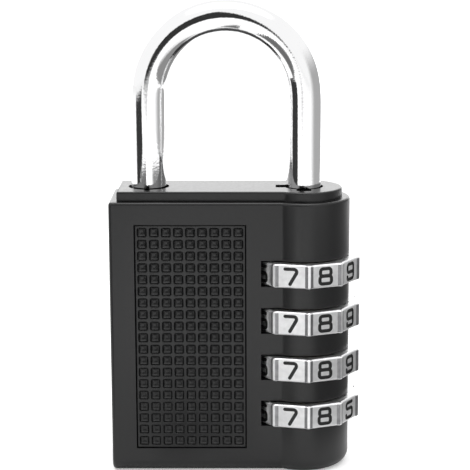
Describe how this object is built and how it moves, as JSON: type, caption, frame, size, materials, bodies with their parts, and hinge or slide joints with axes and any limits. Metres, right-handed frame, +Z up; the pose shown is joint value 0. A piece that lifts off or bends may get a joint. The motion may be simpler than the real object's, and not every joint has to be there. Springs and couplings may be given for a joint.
{
  "type": "combination padlock",
  "caption": "Padlock with a cast slab-and-column case, number dials round the long leg of a bent shackle, and embossed grid faces.",
  "frame": {"origin": "middle of the case's flat foot, between its front and back faces", "axes": "+X from the plain side of the case towards the dial column, +Y from the front to the back, +Z up along the shackle's legs"},
  "size_m": [0.0461, 0.0214, 0.0876],
  "materials": {
    "case_paint": "satin black paint on a zinc die casting",
    "dial_chrome": "satin chrome plate with black filled numbers",
    "shackle_chrome": "polished chrome plate on hardened steel",
    "sleeve_brass": "turned and milled",
    "spring_steel": "bright drawn",
    "inner_steel": "stamped and tumbled"
  },
  "bodies": {
    "case": {"case": "case_paint", "bottom_plug": "case_paint", "top_washer": "inner_steel", "stack_washer": "inner_steel", "clutch_spring": "spring_steel", "detent_spring_1": "spring_steel", "detent_spring_2": "spring_steel", "detent_spring_3": "spring_steel", "detent_spring_4": "spring_steel"},
    "shackle": {"shackle": "shackle_chrome", "retaining_clip": "spring_steel", "shackle_spring": "spring_steel"},
    "dial_1": {"dial_1": "dial_chrome", "code_sleeve_1": "sleeve_brass"},
    "dial_2": {"dial_2": "dial_chrome", "code_sleeve_2": "sleeve_brass"},
    "dial_3": {"dial_3": "dial_chrome", "code_sleeve_3": "sleeve_brass"},
    "dial_4": {"dial_4": "dial_chrome", "code_sleeve_4": "sleeve_brass"}
  },
  "joints": [
    {"name": "shackle_lift", "type": "slide", "parent": "case", "child": "shackle", "axis": [0, 0, 1], "range_m": [0, 0.0057], "deforming": ["shackle_spring"]},
    {"name": "dial_1_turn", "type": "hinge", "parent": "case", "child": "dial_1", "pos_m": [0.0135, 0, 0.03797], "axis": [0, 0, 1], "continuous": true, "deforming": ["detent_spring_1"]},
    {"name": "dial_2_turn", "type": "hinge", "parent": "case", "child": "dial_2", "pos_m": [0.0135, 0, 0.02912], "axis": [0, 0, 1], "continuous": true, "deforming": ["detent_spring_2"]},
    {"name": "dial_3_turn", "type": "hinge", "parent": "case", "child": "dial_3", "pos_m": [0.0135, 0, 0.02027], "axis": [0, 0, 1], "continuous": true, "deforming": ["detent_spring_3"]},
    {"name": "dial_4_turn", "type": "hinge", "parent": "case", "child": "dial_4", "pos_m": [0.0135, 0, 0.01142], "axis": [0, 0, 1], "continuous": true, "deforming": ["detent_spring_4"]}
  ]
}
